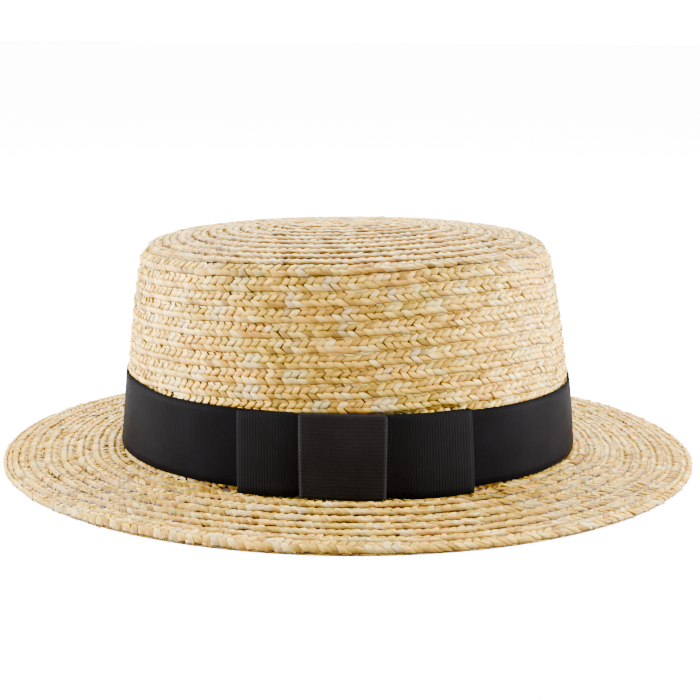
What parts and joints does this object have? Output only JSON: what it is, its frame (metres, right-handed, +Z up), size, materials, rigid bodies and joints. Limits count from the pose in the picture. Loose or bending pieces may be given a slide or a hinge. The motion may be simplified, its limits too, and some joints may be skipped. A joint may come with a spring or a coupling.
{
  "type": "straw boater hat",
  "caption": "Stiff straw boater: oval crown with a nearly flat tip, level brim of sewn plait, black grosgrain ribbon and flat bow.",
  "frame": {"origin": "middle of the brim's rim, on the surface that the hat rests on", "axes": "+Z up through the crown; -X towards the front of the hat as worn, +X towards its back; -Y towards the side with the bow, the wearer's left"},
  "size_m": [0.309, 0.277, 0.1047],
  "materials": {
    "crown_straw": "natural wheat-straw plait, satin sheen",
    "brim_straw": "natural wheat-straw plait, satin sheen",
    "ribbon": "black grosgrain, soft sheen",
    "bow_ribbon": "black grosgrain, soft sheen",
    "knot_ribbon": "black grosgrain, ribs level"
  },
  "bodies": {
    "root": {"crown": "crown_straw", "brim": "brim_straw", "hat_band": "ribbon", "bow_loops": "bow_ribbon", "bow_knot": "knot_ribbon"}
  },
  "joints": []
}
